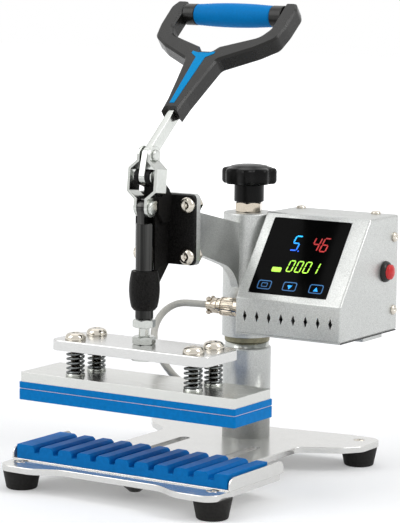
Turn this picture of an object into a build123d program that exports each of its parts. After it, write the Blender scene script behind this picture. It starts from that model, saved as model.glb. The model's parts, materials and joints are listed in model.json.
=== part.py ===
from build123d import *
import math
import os

os.makedirs("parts", exist_ok=True)

# Pen heat press: a swing arm on a column carries a vertical toggle clamp, which lowers a heated
# bar onto a grooved pen tray. A control box with a display and a red button sits beside the arm.
# Millimetres, +Z up. Sizes are drawn about the press axis: X to the right, Y to the back.
# The origin is on the floor, below the middle of the whole object's box.

# Base plate, an I outline whose waist is cut deeper on the right
foot_height = 13.0
base_thick = 4.0
base_top = foot_height + base_thick
notch_half, lobe_half, front_half, rear_half = 37.0, 54.0, 81.5, 84.5
waist_left, waist_right = 55.5, 49.2
front_y, notch_y, front_rear_y, waist_front_y = -46.5, -37.5, 37.0, 43.0
waist_rear_y, rear_y, rear_mid_y = 109.5, 165.5, 156.5
rear_toe_x, rear_toe_y, rear_flank_y = 75.0, 123.5, 136.0
slot_x, slot_width, slot_front_y, slot_rear_y = 27.5, 7.5, 12.0, 94.5

# Feet and their screws
foot_x, foot_front_y, foot_rear_y = 72.0, -31.5, 153.5
foot_top_r, foot_bottom_r = 12.4, 9.8
foot_screw_r, foot_screw_head_r, foot_screw_length = 2.0, 4.0, 12.0

# Clearances, on the radius
running = 0.05
snug = 0.02

# Column, post and sleeve
column_y = 125.0
column_r, column_top = 16.2, 78.2
post_neck_r, post_neck_top, post_bottom = 14.75, 82.0, 45.0
post_r, post_top = 13.0, 158.5
ring_r, ring_top = 15.2, 85.4
sleeve_r, sleeve_bottom, sleeve_top, sleeve_cap = 17.0, 85.5, 169.0, 9.0
column_bolt_r, column_bolt_head, column_bolt_flats = 5.0, 6.4, 17.0

# Top nut, knob and its stud
stud_r, stud_bottom, stud_top = 5.0, 158.8, 193.0
top_nut_flats, top_nut_top = 16.5, 175.6
knob_neck_r, knob_bottom, knob_head_bottom, knob_head_top = 10.0, 176.0, 188.0, 198.5
knob_head_r, knob_dome_top, knob_lobes = 18.5, 201.0, 8

# Arm web and mount plate
web_thick = 6.0
flange_front, flange_back, mount_thick = 22.0, 25.0, 4.3
mount_back = flange_back + mount_thick
mount_half, mount_bottom, mount_top = 22.4, 144.6, 189.8
web_top_front_z, web_top_rear_z, web_bottom_front_z = 181.0, 161.8, 157.0
web_bend = (91.8, 136.4)
web_sweep = (103.0, 128.5)
web_foot = (109.2, 115.6)
web_rear_y = 114.0

# Clamp casting
flange_half, flange_bottom, flange_top = 22.4, 144.8, 189.2
clamp_screw_x, clamp_screw_low, clamp_screw_high = 17.5, 150.3, 182.9
clamp_screw_r, clamp_screw_head_r, clamp_screw_length = 2.5, 5.25, 13.0
clamp_nut_flats, clamp_nut_thick = 8.0, 4.0
spine_half, spine_front = 3.0, 7.0
ear_in, ear_out, ear_r = 2.75, 5.6, 4.8
pin_head_r, pin_head = 4.0, 1.1
barrel_bottom, barrel_top = 117.6, 142.4

# Toggle: lever pivot A, lever to link pivot B, link to rod pivot C
pivot_a_z = 201.5
crank = 13.8
link_length = 33.0
pivot_b_y = 3.5
pivot_b_z = pivot_a_z + math.sqrt(crank**2 - pivot_b_y**2)
pivot_c_z = pivot_b_z - math.sqrt(link_length**2 - pivot_b_y**2)
pin_a_r, pin_b_r, pin_c_r = 3.0, 2.5, 3.0
link_thick, link_width = 2.0, 11.7
link_gap_top, link_gap_wide, link_gap_low = 3.0, 9.0, 2.9
link_flare_start, link_flare_end, link_close_start, link_close_end = 4.2, 9.2, 22.3, 27.4

# Lever bar and handle, whose plane leans back
lean = 40.0
lever_thick, lever_width, lever_eye_width, lever_reach = 4.5, 8.7, 9.6, 75.0
shell_front_half, shell_back_half = 6.5, 5.2
edge_round = 1.4
grip_v, grip_half, bush_end = 132.5, 29.0, 37.5
grip_mid_r, grip_end_r, bush_r, grip_rod_r, grip_rod_half = 8.0, 6.9, 7.1, 4.0, 43.0
inlay_x, inlay_depth, inlay_proud = -1.0, 1.2, 0.3

# Plunger
rod_r, rod_bottom, rod_shoulder = 5.75, 112.0, 172.5
tang_half, tang_r = 2.7, 5.5
spindle_r, spindle_head_r, spindle_head, spindle_top = 3.4, 8.0, 3.5, 128.0
nut_flats, lower_nut_top, upper_nut_bottom, upper_nut_top = 13.0, 101.0, 106.6, 111.7

# Pressure bar, bolts, springs and platen
bar_x, bar_y, bar_bottom, bar_top, bar_corner = 118.0, 41.0, 89.3, 95.9, 7.0
bolt_x, bolt_y, bolt_r, bolt_head_r, bolt_head = 44.5, 11.7, 3.0, 6.75, 4.5
plate_x, plate_y, plate_bottom, plate_top = 161.4, 43.6, 66.5, 72.8
pad_x, pad_y = 163.0, 45.0
heater_bottom, cloth_bottom, press_pad_bottom = 62.5, 62.0, 54.9
spring_wire, spring_outer, spring_end_pitch, spring_end_turns, spring_turns = 1.6, 12.0, 2.15, 1.0, 5.5

# Pen tray
tray_half, tray_wall, tray_floor, tray_top = 81.0, 1.2, 0.8, 25.2
tray_front_y, tray_rear_y, tray_corner = -28.0, 36.0, 5.0
pen_pad_half, pen_pad_front, pen_pad_rear, pen_pad_top = 79.5, -26.9, 20.6, 26.8
groove_count, groove_pitch, groove_first = 10, 14.6, -63.7
groove_width, groove_mouth, groove_mouth_depth, groove_depth = 3.9, 7.7, 1.5, 4.4
stud_y, tray_stud_r, tray_stud_head_r, tray_stud_head = -9.0, 3.0, 7.0, 1.4
tray_knob_r, tray_knob_tip_r, tray_knob_hub_r = 9.5, 3.6, 6.0
tray_knob_bottom, tray_knob_rim, tray_knob_hub, tray_knob_top = 3.0, 8.2, 9.8, 12.8

# Control box
box_left, box_right, box_front, box_back_y = 18.5, 97.0, 79.0, 155.0
box_bottom_z, box_gap_z, box_top_z = 94.0, 95.4, 171.0
slope_low_z, slope_top_y = 118.0, 117.5
box_wall = 1.2
window_left, window_right, window_high, window_low = 8.0, 66.0, 3.8, 60.8
vent_count, vent_first, vent_pitch, vent_z, vent_height, vent_width = 8, 25.8, 9.1, 106.5, 7.4, 2.8
button_y, button_z, bezel_r, bezel_proud = 137.9, 134.9, 7.0, 3.2
button_proud, cap_r, barrel_r = 6.5, 4.9, 5.9
box_screw_y, box_screw_low, box_screw_high = 150.0, 108.2, 156.6
inlet_x, inlet_z = 58.0, 116.0

# Lead plug on the left wall of the box, and the heater lead from it to the boot on the platen
plug_y, plug_z, plug_end, plug_r = 90.0, 109.3, -9.4, 6.35
lead_r = 2.3
boot_left, boot_y, boot_z = 16.0, 28.5, 67.5
lead_points = [
    (plug_end, plug_y, plug_z),
    (-22.9, 90.0, 109.2),
    (-31.5, 88.0, 108.7),
    (-36.1, 81.5, 105.6),
    (-37.1, 72.5, 100.2),
    (-34.0, 62.0, 92.8),
    (-26.0, 51.5, 85.0),
    (-13.4, 41.5, 77.4),
    (8.5, boot_y, boot_z),
    (boot_left, boot_y, boot_z),
]

# The press axis in the object's own frame
press_x = (rear_half - box_right - button_proud) / 2
press_y = -(front_y + rear_y) / 2

lean_cos = math.cos(math.radians(lean))
lean_sin = math.sin(math.radians(lean))
grip_y = pivot_b_y + grip_v * lean_cos
grip_z = pivot_b_z + grip_v * lean_sin
press_axis = Axis((press_x, press_y, 0), (0, 0, 1))


def flat(z, x=0.0, y=0.0):
    """A level plane, seen from above."""
    return Plane(origin=(press_x + x, press_y + y, z), x_dir=(1, 0, 0), z_dir=(0, 0, 1))


def side(x, y=0.0, z=0.0):
    """An upright plane that faces right: its x runs back, its y runs up."""
    return Plane(origin=(press_x + x, press_y + y, z), x_dir=(0, 1, 0), z_dir=(1, 0, 0))


def front(y, x=0.0, z=0.0):
    """An upright plane that faces forward: its x runs right, its y runs up."""
    return Plane(origin=(press_x + x, press_y + y, z), x_dir=(1, 0, 0), z_dir=(0, -1, 0))


def handle(height):
    """A plane of the handle, through pivot B: its y runs up the handle, height is towards its face."""
    origin = (press_x, press_y + pivot_b_y - height * lean_sin, pivot_b_z + height * lean_cos)
    return Plane(origin=origin, x_dir=(1, 0, 0), z_dir=(0, -lean_sin, lean_cos))


def hex_radius(flats):
    """Corner radius of a hexagon from its width across flats."""
    return flats / math.sqrt(3)


def thickened(points, thick):
    """Outline of a bent strip: the given face of it and a mitred face on its right hand side."""
    outer = []
    for i, (x, y) in enumerate(points):
        normals = []
        for start, end in ((i - 1, i), (i, i + 1)):
            if start >= 0 and end < len(points):
                dx = points[end][0] - points[start][0]
                dy = points[end][1] - points[start][1]
                run = math.hypot(dx, dy)
                normals.append((dy / run, -dx / run))
        first, last = normals[0], normals[-1]
        spread = 1 + first[0] * last[0] + first[1] * last[1]
        outer.append((x + thick * (first[0] + last[0]) / spread, y + thick * (first[1] + last[1]) / spread))
    return points + outer[::-1]


def domed_screws(plane, spots, head_r, head, shank_r, shank, socket_r):
    """Screws with round heads on the plane and shanks behind it, added to the part being built."""
    with BuildSketch(plane) as heads:
        with Locations(*spots):
            Circle(head_r)
    extrude(heads.sketch, amount=head)
    crowns = faces(Select.LAST).group_by(Axis(plane.origin, plane.z_dir))[-1]
    fillet(crowns.edges(), head * 0.8)
    with BuildSketch(plane.offset(head)) as sockets:
        with Locations(*spots):
            RegularPolygon(socket_r, 6)
    extrude(sockets.sketch, amount=-head * 0.6, mode=Mode.SUBTRACT)
    with BuildSketch(plane) as shanks:
        with Locations(*spots):
            Circle(shank_r)
    extrude(shanks.sketch, amount=-shank)


def corner_spots(half_x, half_y):
    """The four corners of a rectangle about the sketch's origin."""
    return [(sx * half_x, sy * half_y) for sx in (-1, 1) for sy in (-1, 1)]


pieces = {}

# Base plate


def base_side(waist):
    """Right half of the base's outline, for the given half width of the waist: corners and their radii."""
    return [
        ((notch_half, notch_y), 20),
        ((lobe_half, front_y), 20),
        ((front_half, front_y), 10),
        ((front_half, front_rear_y), 8),
        ((waist, waist_front_y), 8),
        ((waist, waist_rear_y), 7),
        ((rear_toe_x, rear_toe_y), 12),
        ((rear_half, rear_flank_y), 10),
        ((rear_half, rear_y), 10),
        ((58, rear_y), 40),
    ]


left_outline = [((-x, y), r) for (x, y), r in reversed(base_side(waist_left))]
base_outline = base_side(waist_right) + [((0, rear_mid_y), 60)] + left_outline
foot_spots = {
    "foot_front_left": (-foot_x, foot_front_y),
    "foot_front_right": (foot_x, foot_front_y),
    "foot_rear_left": (-foot_x, foot_rear_y),
    "foot_rear_right": (foot_x, foot_rear_y),
}
with BuildPart() as base_plate:
    with BuildSketch(flat(foot_height)):
        with BuildLine():
            FilletPolyline(*[p for p, r in base_outline], radius=[r for p, r in base_outline], close=True)
        make_face()
        with Locations((-slot_x, (slot_front_y + slot_rear_y) / 2), (slot_x, (slot_front_y + slot_rear_y) / 2)):
            SlotOverall(slot_rear_y - slot_front_y, slot_width, rotation=90, mode=Mode.SUBTRACT)
        with Locations((0, column_y)):
            Circle(column_bolt_r + snug, mode=Mode.SUBTRACT)
        with Locations((0, stud_y)):
            Circle(tray_stud_r + snug, mode=Mode.SUBTRACT)
    extrude(amount=base_thick)
    fillet(base_plate.faces().sort_by(Axis.Z)[-1].outer_wire().edges(), 0.6)
    with Locations(flat(base_top)):
        with Locations(*foot_spots.values()):
            CounterSinkHole(foot_screw_r + snug, foot_screw_head_r + snug, counter_sink_angle=90)
pieces["base_plate"] = base_plate

# Feet
for name, (x, y) in foot_spots.items():
    with BuildPart() as foot:
        with BuildSketch(flat(0, x, y)):
            Circle(foot_bottom_r)
        with BuildSketch(flat(foot_height, x, y)):
            Circle(foot_top_r)
        loft()
        fillet(foot.faces().sort_by(Axis.Z)[0].edges(), 1.5)
        with Locations(flat(foot_height, x, y)):
            Hole(foot_screw_r + snug, foot_screw_length - base_thick + 1)
    pieces[name] = foot

with BuildPart() as foot_screws:
    with BuildSketch(flat(base_top)):
        with Locations(*foot_spots.values()):
            Circle(foot_screw_head_r)
    extrude(amount=foot_screw_r - foot_screw_head_r, taper=45)
    with BuildSketch(flat(base_top - foot_screw_length)):
        with Locations(*foot_spots.values()):
            Circle(foot_screw_r)
    extrude(amount=foot_screw_length - 1)
    with BuildSketch(flat(base_top)):
        with Locations(*foot_spots.values()):
            RegularPolygon(1.5, 6)
    extrude(amount=-1.4, mode=Mode.SUBTRACT)
pieces["foot_screws"] = foot_screws

# Column, its bolt, and the post that the arm turns on
with BuildPart() as column:
    with BuildSketch(flat(base_top, 0, column_y)):
        Circle(column_r)
    extrude(amount=column_top - base_top)
    fillet(column.faces().sort_by(Axis.Z)[-1].edges(), 1.2)
    with BuildSketch(flat(post_bottom, 0, column_y)):
        Circle(post_neck_r + snug)
    extrude(amount=column_top - post_bottom, mode=Mode.SUBTRACT)
    with BuildSketch(flat(base_top, 0, column_y)):
        Circle(column_bolt_r + snug)
    extrude(amount=20, mode=Mode.SUBTRACT)
pieces["column"] = column

with BuildPart() as column_bolt:
    with BuildSketch(flat(foot_height, 0, column_y)):
        RegularPolygon(hex_radius(column_bolt_flats), 6)
    extrude(amount=-column_bolt_head)
    with BuildSketch(flat(foot_height, 0, column_y)):
        Circle(column_bolt_r)
    extrude(amount=base_thick + 18)
pieces["column_bolt"] = column_bolt

with BuildPart() as swivel_post:
    with BuildSketch(flat(post_bottom, 0, column_y)):
        Circle(post_neck_r)
    extrude(amount=post_neck_top - post_bottom)
    with BuildSketch(flat(post_neck_top, 0, column_y)):
        Circle(post_r)
    extrude(amount=post_top - post_neck_top)
    chamfer(swivel_post.faces().sort_by(Axis.Z)[-1].edges(), 1.5)
pieces["swivel_post"] = swivel_post

with BuildPart() as thrust_ring:
    with BuildSketch(flat(post_neck_top, 0, column_y)):
        Circle(ring_r)
        Circle(post_r + running, mode=Mode.SUBTRACT)
    extrude(amount=ring_top - post_neck_top)
pieces["thrust_ring"] = thrust_ring

# Pen tray: bent sheet holder, grooved pad, stud and the knob below
with BuildPart() as tray_holder:
    wall_x = tray_half + tray_wall
    with BuildSketch(front(tray_rear_y)):
        with BuildLine():
            Polyline(*[(-wall_x, tray_top), (-wall_x, base_top), (wall_x, base_top), (wall_x, tray_top),
                       (tray_half, tray_top), (tray_half, base_top + tray_floor),
                       (-tray_half, base_top + tray_floor), (-tray_half, tray_top)], close=True)
        make_face()
    extrude(amount=tray_rear_y - tray_front_y)
    corners = tray_holder.edges().filter_by(Axis.X).group_by(Axis.Z)[-1]
    fillet(corners, tray_corner)
    with BuildSketch(flat(base_top, 0, stud_y)):
        Circle(tray_stud_r + snug)
    extrude(amount=tray_floor, mode=Mode.SUBTRACT)
pieces["tray_holder"] = tray_holder

with BuildPart() as pen_pad:
    with BuildSketch(front(pen_pad_rear)):
        pad_low = base_top + tray_floor
        with Locations((0, (pad_low + pen_pad_top) / 2)):
            Rectangle(2 * pen_pad_half, pen_pad_top - pad_low)
        with BuildLine():
            half_mouth, half_slot = groove_mouth / 2, groove_width / 2
            Polyline((-half_mouth, 0), (-half_slot, -groove_mouth_depth), (-half_slot, -groove_depth),
                     (half_slot, -groove_depth), (half_slot, -groove_mouth_depth), (half_mouth, 0), close=True)
        groove = make_face(mode=Mode.PRIVATE)
        with Locations(*[(groove_first + i * groove_pitch, pen_pad_top) for i in range(groove_count)]):
            add(groove, mode=Mode.SUBTRACT)
    extrude(amount=pen_pad_rear - pen_pad_front)
    with BuildSketch(flat(base_top + tray_floor, 0, stud_y)):
        Circle(tray_stud_head_r + 0.3)
    extrude(amount=tray_stud_head + 0.3, mode=Mode.SUBTRACT)
pieces["pen_pad"] = pen_pad

with BuildPart() as tray_stud:
    with BuildSketch(flat(base_top + tray_floor, 0, stud_y)):
        Circle(tray_stud_head_r)
    extrude(amount=tray_stud_head)
    with BuildSketch(flat(tray_knob_bottom + 1.5, 0, stud_y)):
        Circle(tray_stud_r)
    extrude(amount=base_top + tray_floor - tray_knob_bottom - 1.5)
pieces["tray_stud"] = tray_stud

with BuildPart() as tray_knob:
    with BuildSketch(front(stud_y)):
        with BuildLine():
            Polyline((0, tray_knob_top), (0, tray_knob_bottom), (tray_knob_tip_r, tray_knob_bottom),
                     (tray_knob_r, tray_knob_rim), (tray_knob_r, tray_knob_hub),
                     (tray_knob_hub_r, tray_knob_hub), (tray_knob_hub_r, tray_knob_top), close=True)
        make_face()
    revolve(axis=Axis((press_x, press_y + stud_y, 0), (0, 0, 1)))
    with BuildSketch(flat(tray_knob_bottom, 0, stud_y)):
        with PolarLocations(tray_knob_r + 2.4, 3):
            Circle(5)
    extrude(amount=tray_knob_hub - tray_knob_bottom, mode=Mode.SUBTRACT)
    with BuildSketch(flat(tray_knob_bottom + 1.5 - snug, 0, stud_y)):
        Circle(tray_stud_r + running)
    extrude(amount=tray_knob_top, mode=Mode.SUBTRACT)
pieces["tray_knob"] = tray_knob

# Swing arm: sleeve with a pad for the control box, web and mount plate
with BuildPart() as arm_sleeve:
    with BuildSketch(flat(sleeve_bottom, 0, column_y)):
        Circle(sleeve_r)
    extrude(amount=sleeve_top - sleeve_bottom)
    fillet(arm_sleeve.faces().sort_by(Axis.Z)[-1].edges(), 1.2)
    with BuildSketch(side(box_left, column_y, 138)):
        Rectangle(18, 40)
    extrude(amount=-6)
    with BuildSketch(flat(sleeve_bottom, 0, column_y)):
        Circle(post_r + running)
    extrude(amount=sleeve_top - sleeve_cap - sleeve_bottom, mode=Mode.SUBTRACT)
    with BuildSketch(flat(sleeve_top, 0, column_y)):
        Circle(stud_r + running)
    extrude(amount=-sleeve_cap, mode=Mode.SUBTRACT)
pieces["arm_sleeve"] = arm_sleeve

with BuildPart() as arm_web:
    with BuildSketch(side(-web_thick / 2)):
        with BuildLine():
            Line((mount_back, web_bottom_front_z), web_bend)
            ThreePointArc(web_bend, web_sweep, web_foot)
            Polyline(web_foot, (web_rear_y, web_foot[1]), (web_rear_y, web_top_rear_z),
                     (mount_back, web_top_front_z), (mount_back, web_bottom_front_z))
        make_face()
    extrude(amount=web_thick)
    with BuildSketch(flat(box_bottom_z, 0, column_y)):
        Circle(sleeve_r + snug)
    extrude(amount=sleeve_top - box_bottom_z, mode=Mode.SUBTRACT)
pieces["arm_web"] = arm_web

flange_mid = (flange_bottom + flange_top) / 2
clamp_screw_spots = [(sx * clamp_screw_x, z) for sx in (-1, 1) for z in (clamp_screw_low, clamp_screw_high)]
with BuildPart() as mount_plate:
    with BuildSketch(front(mount_back)):
        with Locations((0, (mount_bottom + mount_top) / 2)):
            RectangleRounded(2 * mount_half, mount_top - mount_bottom, 3)
        with Locations(*clamp_screw_spots):
            Circle(clamp_screw_r + snug, mode=Mode.SUBTRACT)
    extrude(amount=mount_thick)
pieces["mount_plate"] = mount_plate

# Clamp casting: flange, spine, two ears for pivot A, and the guide barrel
with BuildPart() as clamp_body:
    with BuildSketch(front(flange_back, 0, flange_mid)):
        RectangleRounded(2 * flange_half, flange_top - flange_bottom, 3)
    extrude(amount=flange_back - flange_front)
    fillet(clamp_body.faces().sort_by(Axis.Y)[0].edges(), 0.8)
    with BuildSketch(side(-spine_half)):
        with BuildLine():
            Polyline((flange_back - 1, flange_top - 4), (flange_back - 1, flange_bottom + 1), (12, 133), (6.2, 133),
                     (6.2, barrel_top), (spine_front, barrel_top), (spine_front, 190), (16, 190), close=True)
        make_face()
    extrude(amount=2 * spine_half)
    with BuildSketch(side(-ear_out)):
        with BuildLine():
            Polyline((spine_front, 178), (12, 172), (flange_front + 1, 172), (flange_front + 1, 186), (19, 193),
                     (9.5, 196.6), (spine_front, 196.6), close=True)
        make_face()
    extrude(amount=2 * ear_out)
    for ear_start in (-ear_out, ear_in):
        with BuildSketch(side(ear_start)):
            with BuildLine():
                Polyline((0, pivot_a_z - ear_r), (spine_front, 194.2), (spine_front, 190), (18, 190), (18, 193.6),
                         (2.94, pivot_a_z + 3.79), (0, pivot_a_z), close=True)
            make_face()
            with Locations((0, pivot_a_z)):
                Circle(ear_r)
                Circle(pin_a_r + snug, mode=Mode.SUBTRACT)
        extrude(amount=ear_out - ear_in)
    with BuildSketch(side(0)):
        with BuildLine():
            Polyline((rod_r + running, barrel_top), (rod_r + running, barrel_bottom), (6.7, barrel_bottom),
                     (8.3, barrel_bottom + 1.9))
            ThreePointArc((8.3, barrel_bottom + 1.9), (9.75, 130), (8.25, barrel_top))
            Line((8.25, barrel_top), (rod_r + running, barrel_top))
        make_face()
    revolve(axis=press_axis)
    with BuildSketch(front(flange_back)):
        with Locations(*clamp_screw_spots):
            Circle(clamp_screw_r + snug)
    extrude(amount=flange_back - flange_front, mode=Mode.SUBTRACT)
pieces["clamp_body"] = clamp_body

with BuildPart() as clamp_screws:
    domed_screws(front(flange_front), clamp_screw_spots, clamp_screw_head_r, 3.0, clamp_screw_r,
                 clamp_screw_length, 1.8)
pieces["clamp_screws"] = clamp_screws

with BuildPart() as clamp_nuts:
    with BuildSketch(front(mount_back)):
        with Locations(*clamp_screw_spots):
            RegularPolygon(hex_radius(clamp_nut_flats), 6)
            Circle(clamp_screw_r + snug, mode=Mode.SUBTRACT)
    extrude(amount=-clamp_nut_thick)
pieces["clamp_nuts"] = clamp_nuts

with BuildPart() as pivot_pin:
    with BuildSketch(side(-ear_out, 0, pivot_a_z)):
        Circle(pin_a_r)
    extrude(amount=2 * ear_out)
    for start, amount in ((ear_out, pin_head), (-ear_out, -pin_head)):
        with BuildSketch(side(start, 0, pivot_a_z)):
            Circle(pin_head_r)
        extrude(amount=amount)
    fillet(pivot_pin.faces().sort_by(Axis.X)[-1].edges() + pivot_pin.faces().sort_by(Axis.X)[0].edges(), 0.6)
pieces["pivot_pin"] = pivot_pin

# Lever bar
with BuildPart() as lever_bar:
    with BuildSketch(side(-lever_thick / 2)):
        with Locations((pivot_b_y / 2, (pivot_a_z + pivot_b_z) / 2)):
            SlotCenterToCenter(crank, lever_eye_width, rotation=math.degrees(math.acos(pivot_b_y / crank)))
        with Locations((pivot_b_y, pivot_b_z)):
            Rectangle(lever_reach, lever_width, rotation=lean, align=(Align.MIN, Align.CENTER))
            Circle(pin_b_r + running, mode=Mode.SUBTRACT)
        with Locations((0, pivot_a_z)):
            Circle(pin_a_r + running, mode=Mode.SUBTRACT)
    extrude(amount=lever_thick)
pieces["lever_bar"] = lever_bar

# Handle shells, one outline for both: x across, y up the handle from pivot B
right_shell = [
    ((2.6, 37.0), 0),
    ((6.1, 34.2), 0),
    ((6.8, 46.0), 20),
    ((10.0, 68.5), 20),
    ((12.4, 83.0), 4),
    ((35.0, 95.3), 20),
    ((46.0, 104.0), 8),
    ((48.0, 116.0), 20),
    ((48.4, 133.0), 8),
    ((45.0, 139.3), 2.5),
    ((bush_end, 139.3), 2),
    ((bush_end, 113.5), 6),
    ((33.0, 105.8), 10),
    ((7.6, 95.6), 1.5),
    ((4.4, 91.2), 1.5),
]
left_shell = [((-x, y), r) for (x, y), r in reversed(right_shell)]
shell_outline = right_shell + left_shell
handle_screw_spots = [(-42.0, 110.0), (42.0, 110.0), (0.0, 82.0)]
right_inlay = [(1.7, 41.0), (3.5, 84.2), (8.6, 88.0), (8.6, 90.0), (4.0, 88.7)]
inlay_outline = [(inlay_x + x, y) for x, y in right_inlay]
inlay_outline += [(inlay_x - x, y) for x, y in reversed(right_inlay)]


def handle_shell(height):
    """Half of the handle, from its parting plane out to the given height."""
    with BuildSketch(handle(0)) as profile:
        with BuildLine():
            FilletPolyline(*[p for p, r in shell_outline], radius=[r for p, r in shell_outline], close=True)
        make_face()
    extrude(profile.sketch, amount=height)
    outer = faces(Select.LAST).sort_by(Axis(handle(0).origin, handle(0).z_dir))[-1 if height > 0 else 0]
    chamfer(outer.edges(), edge_round)
    with BuildSketch(handle(0)) as pocket:
        with Locations((0, (29 + lever_reach + 1) / 2)):
            Rectangle(lever_thick + 2 * snug, lever_reach + 1 - 29)
    extrude(pocket.sketch, amount=math.copysign(lever_width / 2 + snug, height), mode=Mode.SUBTRACT)
    with BuildSketch(side(-grip_rod_half - snug, grip_y, grip_z)) as rod_hole:
        Circle(grip_rod_r + snug)
    extrude(rod_hole.sketch, amount=2 * (grip_rod_half + snug), mode=Mode.SUBTRACT)


with BuildPart() as shell_front:
    handle_shell(shell_front_half)
    with BuildSketch(handle(shell_front_half)):
        with BuildLine():
            Polyline(*inlay_outline, close=True)
        make_face()
    extrude(amount=-inlay_depth, mode=Mode.SUBTRACT)
    with BuildSketch(handle(0)):
        with Locations(*handle_screw_spots):
            Circle(1.5 + snug)
    extrude(amount=4.6, mode=Mode.SUBTRACT)
pieces["shell_front"] = shell_front

with BuildPart() as shell_back:
    handle_shell(-shell_back_half)
    with BuildSketch(handle(0)):
        with Locations(*handle_screw_spots):
            Circle(1.5 + snug)
    extrude(amount=-shell_back_half, mode=Mode.SUBTRACT)
    with BuildSketch(handle(-shell_back_half)):
        with Locations(*handle_screw_spots):
            Circle(3.1)
    extrude(amount=2, mode=Mode.SUBTRACT)
pieces["shell_back"] = shell_back

with BuildPart() as handle_screws:
    with BuildSketch(handle(2 - shell_back_half)):
        with Locations(*handle_screw_spots):
            Circle(2.9)
    extrude(amount=-1.7)
    with BuildSketch(handle(2 - shell_back_half)):
        with Locations(*handle_screw_spots):
            Circle(1.5)
    extrude(amount=shell_back_half + 2.4)
pieces["handle_screws"] = handle_screws

with BuildPart() as handle_inlay:
    with BuildSketch(handle(shell_front_half - inlay_depth)):
        with BuildLine():
            Polyline(*inlay_outline, close=True)
        make_face()
    extrude(amount=inlay_depth + inlay_proud)
pieces["handle_inlay"] = handle_inlay

# Grip: rod, blue sleeve and two bushes on the rod's axis
grip_axis = Axis((0, press_y + grip_y, grip_z), (1, 0, 0))
with BuildPart() as grip_rod:
    with BuildSketch(side(-grip_rod_half, grip_y, grip_z)):
        Circle(grip_rod_r)
    extrude(amount=2 * grip_rod_half)
pieces["grip_rod"] = grip_rod

with BuildPart() as grip_sleeve:
    with BuildSketch(front(grip_y, 0, grip_z)):
        with BuildLine():
            Polyline((-grip_half, grip_end_r), (-grip_half, grip_rod_r + snug), (grip_half, grip_rod_r + snug),
                     (grip_half, grip_end_r))
            ThreePointArc((grip_half, grip_end_r), (0, grip_mid_r), (-grip_half, grip_end_r))
        make_face()
    revolve(axis=grip_axis)
pieces["grip_sleeve"] = grip_sleeve

with BuildPart() as grip_bushes:
    for start, length in ((grip_half, bush_end - grip_half), (-bush_end, bush_end - grip_half)):
        with BuildSketch(side(start, grip_y, grip_z)):
            Circle(bush_r)
            Circle(grip_rod_r + snug, mode=Mode.SUBTRACT)
        extrude(amount=length)
pieces["grip_bushes"] = grip_bushes

# Links: bent strips between pivots B and C, drawn in the plane that they lean in
link_lean = math.degrees(math.asin(pivot_b_y / link_length))
link_up = (0, math.sin(math.radians(link_lean)), math.cos(math.radians(link_lean)))
link_plane = Plane(origin=(press_x, press_y + pivot_b_y, pivot_b_z), x_dir=(1, 0, 0),
                   z_dir=Vector(1, 0, 0).cross(Vector(*link_up)))
link_face = [
    (link_gap_top, link_width / 2),
    (link_gap_top, -link_flare_start),
    (link_gap_wide, -link_flare_end),
    (link_gap_wide, -link_close_start),
    (link_gap_low, -link_close_end),
    (link_gap_low, -link_length - link_width / 2),
]
link_strip = [(x, y) for x, y in thickened(link_face, -link_thick)]
for name, hand in (("link_right", 1), ("link_left", -1)):
    with BuildPart() as link:
        with BuildSketch(link_plane):
            with BuildLine():
                Polyline(*[(hand * x, y) for x, y in link_strip], close=True)
            make_face()
        extrude(amount=link_width / 2, both=True)
        with BuildSketch(side(0)):
            with Locations((pivot_b_y / 2, (pivot_b_z + pivot_c_z) / 2)):
                SlotCenterToCenter(link_length, link_width, rotation=90 - link_lean)
            with Locations((pivot_b_y, pivot_b_z)):
                Circle(pin_b_r + snug, mode=Mode.SUBTRACT)
            with Locations((0, pivot_c_z)):
                Circle(pin_c_r + snug, mode=Mode.SUBTRACT)
        extrude(amount=hand * 15, mode=Mode.INTERSECT)
    pieces[name] = link

with BuildPart() as link_pin:
    link_out = link_gap_top + link_thick
    with BuildSketch(side(-link_out, pivot_b_y, pivot_b_z)):
        Circle(pin_b_r)
    extrude(amount=2 * link_out)
    for start, amount in ((link_out, 1.4), (-link_out, -1.4)):
        with BuildSketch(side(start, pivot_b_y, pivot_b_z)):
            Circle(3.6)
        extrude(amount=amount)
    fillet(link_pin.faces().sort_by(Axis.X)[-1].edges() + link_pin.faces().sort_by(Axis.X)[0].edges(), 0.9)
pieces["link_pin"] = link_pin

with BuildPart() as link_rivets:
    rivet_out = link_gap_low + link_thick
    for hand in (-1, 1):
        with BuildSketch(side(hand * link_gap_low, 0, pivot_c_z)):
            Circle(pin_c_r)
        extrude(amount=hand * link_thick)
        with BuildSketch(side(hand * rivet_out, 0, pivot_c_z)):
            Circle(4.5)
        extrude(amount=hand * 1.6)
    fillet(link_rivets.faces().sort_by(Axis.X)[-1].edges() + link_rivets.faces().sort_by(Axis.X)[0].edges(), 1.0)
pieces["link_rivets"] = link_rivets

# Plunger rod, spindle and its two nuts
with BuildPart() as plunger_rod:
    with BuildSketch(flat(rod_bottom)):
        Circle(rod_r)
    extrude(amount=rod_shoulder - rod_bottom)
    chamfer(plunger_rod.faces().sort_by(Axis.Z)[-1].edges(), 0.8)
    chamfer(plunger_rod.faces().sort_by(Axis.Z)[0].edges(), 0.5)
    with BuildSketch(side(-tang_half)):
        with Locations((0, pivot_c_z)):
            Circle(tang_r)
        with Locations((0, (pivot_c_z + rod_shoulder - 2) / 2)):
            Rectangle(2 * 5.0, pivot_c_z - rod_shoulder + 2)
    extrude(amount=2 * tang_half)
    with BuildSketch(flat(rod_bottom)):
        Circle(spindle_r + snug)
    extrude(amount=spindle_top - rod_bottom + 1, mode=Mode.SUBTRACT)
pieces["plunger_rod"] = plunger_rod

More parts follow.
